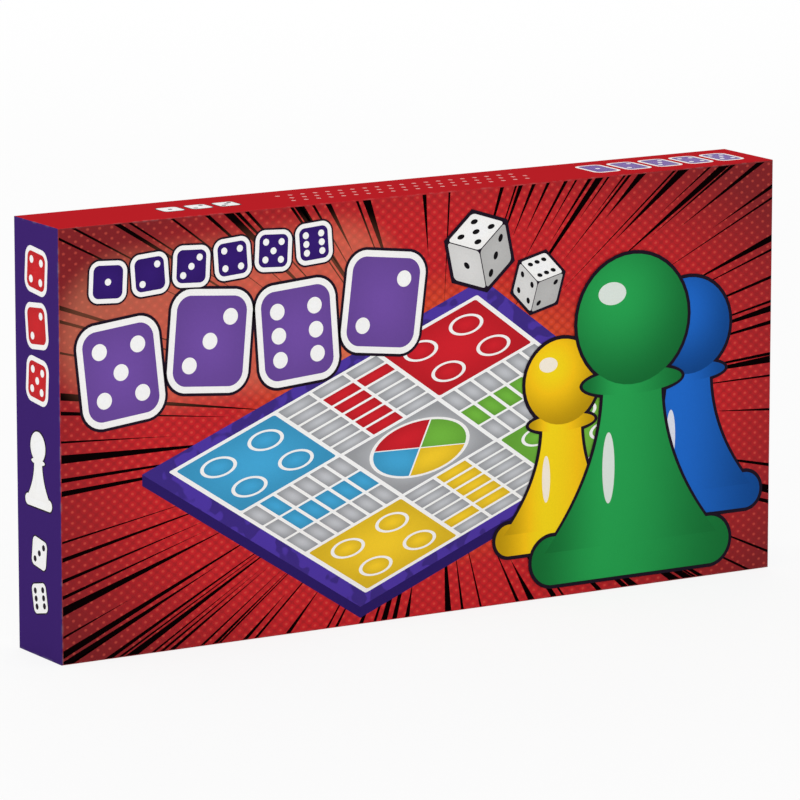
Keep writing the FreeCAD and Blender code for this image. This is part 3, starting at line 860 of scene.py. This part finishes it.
class LUDO_OT_board_picture(bpy.types.Operator):
    """Prints a picture of the board, seen corner on, in the middle of the lid"""
    bl_idname = "ludo.board_picture"
    bl_label = "Board picture"

    def execute(self, context):
        print_ = PanelPrint(FRONT, context.scene.ludo_lid.film)
        near, right, far, left = (150, 8), (314, 74), (214, 150), (40, 80)
        here, thick, margin = at(0, 0), 5, 0.85
        for (x0, y0), (x1, y1) in ((left, near), (near, right)):
            print_.patch(((x0, y0 - thick), (x1, y1 - thick), (x1, y1), (x0, y0)), here, 1, "frame_edge")
        unit = seen_in(here, near, right, far, left)
        whole = COURSE + 2 * margin
        draw_board(print_, lambda x, y: unit((x + margin) / whole, (y + margin) / whole), 2, margin)
        print_.finish("lid_board_picture")
        return {"FINISHED"}


class LUDO_OT_title_tiles(bpy.types.Operator):
    """Prints two rows of die faces at the lid's upper left"""
    bl_idname = "ludo.title_tiles"
    bl_label = "Title tiles"

    def execute(self, context):
        print_ = PanelPrint(FRONT, context.scene.ludo_lid.film)
        for step, (count, up, turn) in enumerate(((5, 126, 6), (3, 135.5, -5), (6, 135, 4), (2, 144.5, -7))):
            place = at(30 + 44 * step, up, turn=turn)
            draw_tile(print_, count, (35, 40), place, 8, ("purple", "white", "outline"), rims=(4.2, 2.9))
        small = (14.5, 14.5)
        for step in range(6):
            place = at(24 + 20.5 * step, 166 + 1.6 * step, turn=4 if step % 2 else -3)
            draw_tile(print_, step + 1, small, place, 12, ("indigo", "white", "outline"), rims=(2.8, 2.0))
        print_.finish("lid_title_tiles")
        return {"FINISHED"}


class LUDO_OT_pawn_picture(bpy.types.Operator):
    """Prints three large pawns at the lid's right"""
    bl_idname = "ludo.pawn_picture"
    bl_label = "Pawn picture"

    def execute(self, context):
        print_ = PanelPrint(FRONT, context.scene.ludo_lid.film)
        line, layer, layers_each = 1.7, 8, 9
        for player, (across, up, tall) in PAWN_PICTURES.items():
            inks = [f"{player}_{shading}" for shading in ("roll", "ball", "light")]
            draw_pawn(print_, at(across, up, tall), layer, inks, line / tall)
            layer += layers_each
        print_.finish("lid_pawn_picture")
        return {"FINISHED"}


class LUDO_OT_dice_picture(bpy.types.Operator):
    """Prints two tumbling dice above the board picture"""
    bl_idname = "ludo.dice_picture"
    bl_label = "Dice picture"

    def execute(self, context):
        print_ = PanelPrint(FRONT, context.scene.ludo_lid.film)
        draw_die(print_, at(212, 163, scale=18, turn=12), layer=12, faces=(5, 1, 3))
        draw_die(print_, at(243, 146, scale=14, turn=-16), layer=16, faces=(6, 4, 2))
        print_.finish("lid_dice_picture")
        return {"FINISHED"}


class LUDO_OT_side_prints(bpy.types.Operator):
    """Prints die faces, pawns and dots on the lid's ends and top"""
    bl_idname = "ludo.side_prints"
    bl_label = "Side prints"

    def execute(self, context):
        film = context.scene.ludo_lid.film
        for name, panel in (("lid_left_print", LEFT), ("lid_right_print", RIGHT)):
            self.print_end(PanelPrint(panel, film), name)
        self.print_top(PanelPrint(TOP, film))
        return {"FINISHED"}

    def print_end(self, print_, name):
        middle = LID_DEEP / 2
        for count, up, turn in ((4, 170, -5), (2, 146, 6), (5, 122, -5)):
            place = at(middle, up, turn=turn)
            draw_tile(print_, count, (16, 16), place, 0, ("red", "white", "white"), rims=(2.2, 2.0))
        draw_pawn(print_, at(middle, 66, scale=34), 0, ("white",) * 3, line=0.02)
        for count, up, turn in ((3, 46, -8), (6, 26, 12)):
            draw_tile(print_, count, (13, 13), at(middle, up, turn=turn), 0, WHITE_FACE, rims=(0.6, 0.3))
        print_.finish(name)

    def print_top(self, print_):
        middle = LID_DEEP / 2
        for step in range(5):
            place = at(288 + 17 * step, middle)
            draw_tile(print_, step + 1, (11, 18), place, 0, ("purple", "white", "white"), rims=(1.6, 1.4))
        for step in range(3):
            draw_tile(print_, step + 1, (10, 10), at(66 + 14 * step, middle), 0, WHITE_FACE, rims=(0.6, 0.3))
        radius, gap = 1.1, 6.4
        for row in range(3):
            for step in range(20):
                print_.disc(radius, radius, at(124 + gap * (step + 0.5 * (row % 2)), 13 + 7 * row), 0, "pink")
        print_.finish("lid_top_print")


class LUDO_OT_tray(bpy.types.Operator):
    """Wraps the base tray in plain paper and finishes its card insert"""
    bl_idname = "ludo.tray"
    bl_label = "Tray and insert"

    def execute(self, context):
        lid, pieces = context.scene.ludo_lid, context.scene.ludo_pieces
        bm = tray_mesh(BASE_LOW, BASE_HIGH, -1, lid)
        for face in bm.faces:
            deep = face.calc_center_median().y > BASE_LOW.y + lid.turn_in
            face.material_index = int(deep and inside_tray(face, BASE_LOW, BASE_HIGH, lid.wall))
        materials = [wrap_material("base_wrap_paper", pieces.wrap, BASE_LOW, BASE_HIGH),
                     Finish("base_lining").board(lid.lining)]
        finish_piece(bm, "base_shell", "base", materials, ["box_base"])
        dress_node("card_insert", Finish("insert_board").board(pieces.card))
        return {"FINISHED"}


class LUDO_OT_board(bpy.types.Operator):
    """Covers the board's two leaves, prints its course across the fold and tapes the fold"""
    bl_idname = "ludo.board"
    bl_label = "Folded board"

    def execute(self, context):
        board = context.scene.ludo_board
        for side in ("rear", "front"):
            node = "board_core_" + side
            dress_node(node, leaf_material("board_cover_" + side, board, *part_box(node)))
        self.print_leaves(board.margin / MM)
        self.tape_fold(board.margin / MM)
        return {"FINISHED"}

    def draw_open(self, margin, panel, film, low, high):
        """Draws the open board and keeps the stretch between two heights."""
        unit = (SHEET_WIDE - 2 * margin) / COURSE
        print_ = PanelPrint(panel, film)
        draw_board(print_, at(margin, SHEET_TALL - SHEET_WIDE / 2 + margin, unit), 0, margin / unit)
        print_.clip((0.0, low), (SHEET_WIDE, high))
        return print_

    def print_leaves(self, margin):
        """Lays the open board's lower half on the rear leaf and its upper half, folded over, on the other."""
        film = SHEET_THICK * MM / BOARD_LAYERS
        rear = panel_matrix((SHEET_LOW.x, SHEET_HIGH.y, SHEET_LOW.z), (1, 0, 0), (0, 0, 1))
        front_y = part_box("board_print_front")[0].y
        fold = Matrix.Translation((0.0, (front_y + SHEET_HIGH.y) / 2, SHEET_HIGH.z))
        front = fold @ Matrix.Rotation(math.pi, 4, "X") @ fold.inverted() @ rear
        for name, panel, low in (("rear", rear, 0.0), ("front", front, SHEET_TALL)):
            print_ = self.draw_open(margin, panel, film, low, low + SHEET_TALL)
            print_.finish("board_art_" + name, "board_" + name, "board_print", ["board_print_" + name])

    def tape_fold(self, margin):
        """Carries the print over the fold on a strip of paper: two legs and a half round between them."""
        low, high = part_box("board_hinge")
        leaf, thick, bends = SHEET_TALL * MM, 0.2 * MM, 4
        radius, middle = (high.y - low.y) / 2, (high.y + low.y) / 2
        top = high.z - radius
        quarter = radius * math.pi / 2
        reach = (top - low.z + quarter) / MM
        print_ = self.draw_open(margin, None, thick / BOARD_LAYERS, SHEET_TALL - reach, SHEET_TALL + reach)
        print_.make_films()
        for step in range(-bends, bends + 1):
            cut(print_.bm, (0.0, leaf + quarter * step / bends, 0.0), (0.0, 1.0, 0.0))
        for vert in print_.bm.verts:
            along, inner = vert.co.y - leaf, radius - vert.co.z
            bend = max(-quarter, min(quarter, along))
            vert.co = (low.x + vert.co.x, middle - inner * math.sin(bend / radius),
                       top + inner * math.cos(bend / radius) - abs(along - bend))
        strip = mesh_object(print_.bm, "hinge_strip", print_.inks)
        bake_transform(strip)
        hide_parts("board_hinge")


class LUDO_OT_leaflet(bpy.types.Operator):
    """Gives the leaflet its paper and prints a course on it"""
    bl_idname = "ludo.leaflet"
    bl_label = "Leaflet"

    def execute(self, context):
        scene = context.scene
        low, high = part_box("rules_leaflet")
        dress_node("rules_leaflet", wrap_material("leaflet_sheet", scene.ludo_pieces.paper, low, high))
        print_ = PanelPrint(panel_matrix(low, (1, 0, 0), (0, 0, 1)), scene.ludo_lid.film)
        wide, _, tall = (high - low) / MM
        heading, border, margin = tall - 16, 8, 0.6
        print_.tile(wide - 10, 20, 3, at(wide / 2, heading), 0, "red")
        for step in range(4):
            place = at(wide / 2 + 18 * (step - 1.5), heading)
            draw_tile(print_, step + 1, (9, 9), place, 1, WHITE_FACE, rims=(0.4, 0.2))
        cell = (wide - 2 * border) / (COURSE + 2 * margin)
        corner = border + margin * cell
        draw_board(print_, at(corner, corner + 6, cell), 0, margin)
        print_.finish("leaflet_print", "leaflet", "leaflet_paper")
        return {"FINISHED"}


class LUDO_OT_pawns(bpy.types.Operator):
    """Turns the sixteen pawns"""
    bl_idname = "ludo.pawns"
    bl_label = "Pawns"

    def execute(self, context):
        pieces = context.scene.ludo_pieces
        for player in PLAYERS:
            material = Finish("pawn_plastic_" + player).plastic(getattr(pieces, player), roughness=0.24)
            for number in range(1, PAWNS_EACH + 1):
                node = f"pawn_{player}_{number}"
                low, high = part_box(node)
                bm = self.turn(high.z - low.z, (high.x - low.x) / 2, pieces.foot_round)
                foot = Vector(((low.x + high.x) / 2, (low.y + high.y) / 2, low.z))
                bmesh.ops.translate(bm, vec=foot, verts=bm.verts)
                finish_piece(bm, f"{player}_pawn_{number}", node, [material], [node])
        return {"FINISHED"}

    def turn(self, tall, foot_radius, foot_round):
        """One pawn on the origin: a ball head, a neck, a straight cone and a flat foot."""
        head_radius, neck_radius, foot_tall = 4.5 * MM, 2.7 * MM, 2.2 * MM
        cone_foot = 0.86 * foot_radius
        bm = bmesh.new()
        crown = bm.verts.new((0.0, 0.0, tall))
        neck_angle = math.pi - math.asin(neck_radius / head_radius)
        arc = bmesh.ops.spin(bm, geom=[crown], cent=(0.0, 0.0, tall - head_radius), axis=(0, 1, 0),
                             angle=neck_angle, steps=16)
        last = arc["geom_last"][0]
        for out, up in ((cone_foot, foot_tall), (foot_radius, foot_tall), (foot_radius, 0.0), (0.0, 0.0)):
            corner = bm.verts.new((out, 0.0, up))
            bm.edges.new((last, corner))
            last = corner
        bmesh.ops.spin(bm, geom=bm.verts[:] + bm.edges[:], cent=(0, 0, 0), axis=(0, 0, 1), angle=2 * math.pi,
                       steps=40, use_merge=True)
        bmesh.ops.remove_doubles(bm, verts=bm.verts, dist=TINY)
        bmesh.ops.recalc_face_normals(bm, faces=bm.faces)
        sharp = [edge for edge in bm.edges if edge.calc_face_angle(0.0) > math.radians(40)]
        for face in bm.faces:
            face.smooth = len(face.verts) > 3 or face.calc_center_median().z > foot_tall
        round_edges(bm, sharp, foot_round, segments=3)
        return bm


class LUDO_OT_dice(bpy.types.Operator):
    """Finishes the two dice and paints their pips"""
    bl_idname = "ludo.dice"
    bl_label = "Dice"

    def execute(self, context):
        for node in ("die_1", "die_2"):
            dress_node(node, die_material(node + "_plastic", context.scene.ludo_pieces, *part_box(node)))
        return {"FINISHED"}


class LUDO_OT_stage(bpy.types.Operator):
    """Sets the camera, the white floor and the lights"""
    bl_idname = "ludo.stage"
    bl_label = "Stage"

    def execute(self, context):
        scene, stage = context.scene, context.scene.ludo_stage
        scene.view_settings.view_transform = "Standard"
        self.set_camera(scene, stage)
        self.lay_floor(stage)
        self.light_world(scene, stage)
        for name, watts, place, size in (("key_lamp", stage.key, (-1.1, -2.2, 1.7), 1.6),
                                         ("side_lamp", stage.fill, (-2.4, 0.3, 1.2), 1.4),
                                         ("back_lamp", stage.back, (1.3, 2.3, 1.5), 1.6)):
            light = bpy.data.lights.new(name, "AREA")
            light.energy = watts
            light.size = size
            lamp = linked(name, light)
            lamp.location = place
            lamp.visible_glossy = name != "back_lamp"
            lamp.rotation_euler = (Vector(stage.aim) - Vector(place)).to_track_quat("-Z", "Y").to_euler()
        return {"FINISHED"}

    def set_camera(self, scene, stage):
        photo_camera = bpy.data.cameras.new("photo_camera")
        photo_camera.sensor_width = 36.0
        photo_camera.lens = stage.lens
        level = math.cos(stage.elevation)
        back = Vector((math.sin(stage.azimuth) * level, -math.cos(stage.azimuth) * level,
                       math.sin(stage.elevation)))
        scene.camera = linked("photo_camera", photo_camera)
        scene.camera.location = Vector(stage.aim) + back * stage.distance
        scene.camera.rotation_euler = back.to_track_quat("Z", "Y").to_euler()

    def show_white(self, nodes, output, lit, white, share):
        """Shows white to rays from the camera or by way of a mirror or glass, and what is lit to others."""
        path = nodes.add("LightPath").outputs
        mirrored = nodes.math("MAXIMUM", path["Is Glossy Ray"], path["Is Transmission Ray"])
        seen = nodes.math("MAXIMUM", path["Is Camera Ray"], mirrored)
        blend = nodes.add("MixShader", (nodes.math("MULTIPLY", seen, share), lit, white))
        nodes.feed(nodes.tree.nodes[output].inputs["Surface"], blend.outputs[0])

    def lay_floor(self, stage):
        """A wide white disc, a little below the box so that the two don't share a plane."""
        radius, below = 12.0, 0.2 * MM
        bm = bmesh.new()
        bmesh.ops.create_circle(bm, cap_ends=True, radius=radius, segments=64)
        bmesh.ops.translate(bm, vec=(0.0, 0.0, -below), verts=bm.verts)
        matt = Finish("floor_white")
        matt.feed(matt.shader["Base Color"], dimmed(stage.floor, 0.9))
        matt.feed(matt.shader["Roughness"], 0.9)
        matt.feed(matt.shader["Specular IOR Level"], 0.0)
        white = matt.add("Emission", {"Color": stage.floor, "Strength": 1.0}).outputs[0]
        lit = matt.tree.nodes["Principled BSDF"].outputs[0]
        self.show_white(matt, "Material Output", lit, white, share=0.85)
        mesh_object(bm, "floor", [matt.material])

    def light_world(self, scene, stage):
        scene.world = bpy.data.worlds.new("studio")
        scene.world.use_nodes = True
        nodes = Nodes(scene.world.node_tree)
        light = nodes.tree.nodes["Background"]
        nodes.feed(light.inputs["Color"], stage.floor)
        nodes.feed(light.inputs["Strength"], stage.sky)
        white = nodes.add("Background", {"Color": stage.floor, "Strength": 1.0}).outputs[0]
        self.show_white(nodes, "World Output", light.outputs[0], white, share=1.0)


PIECE_OPERATORS = (LUDO_OT_lid_shell, LUDO_OT_speed_lines, LUDO_OT_board_picture, LUDO_OT_title_tiles,
                   LUDO_OT_pawn_picture, LUDO_OT_dice_picture, LUDO_OT_side_prints, LUDO_OT_tray,
                   LUDO_OT_board, LUDO_OT_leaflet, LUDO_OT_pawns, LUDO_OT_dice, LUDO_OT_stage)


class LUDO_PT_sidebar(bpy.types.Panel):
    """Lists the steps that build the game"""
    bl_idname = "LUDO_PT_sidebar"
    bl_label = "Ludo board game"
    bl_space_type = "VIEW_3D"
    bl_region_type = "UI"
    bl_category = "Ludo"

    def draw(self, context):
        for operator in PIECE_OPERATORS:
            self.layout.operator(operator.bl_idname)


def register():
    for group in SETTINGS.values():
        bpy.utils.register_class(group)
    for name, group in SETTINGS.items():
        setattr(bpy.types.Scene, name, PointerProperty(type=group))
    for item in (*PIECE_OPERATORS, LUDO_PT_sidebar):
        bpy.utils.register_class(item)


def unregister():
    for item in (LUDO_PT_sidebar, *reversed(PIECE_OPERATORS)):
        bpy.utils.unregister_class(item)
    for name, group in SETTINGS.items():
        delattr(bpy.types.Scene, name)
        bpy.utils.unregister_class(group)


def main():
    register()
    scene = bpy.context.scene
    build_groups(scene.ludo_lid)
    build_inks(scene.ludo_lid, scene.ludo_board, scene.ludo_pieces)
    for operator in PIECE_OPERATORS:
        step = operator.bl_idname.split(".")[1]
        getattr(bpy.ops.ludo, step)()


if __name__ == "__main__":
    main()
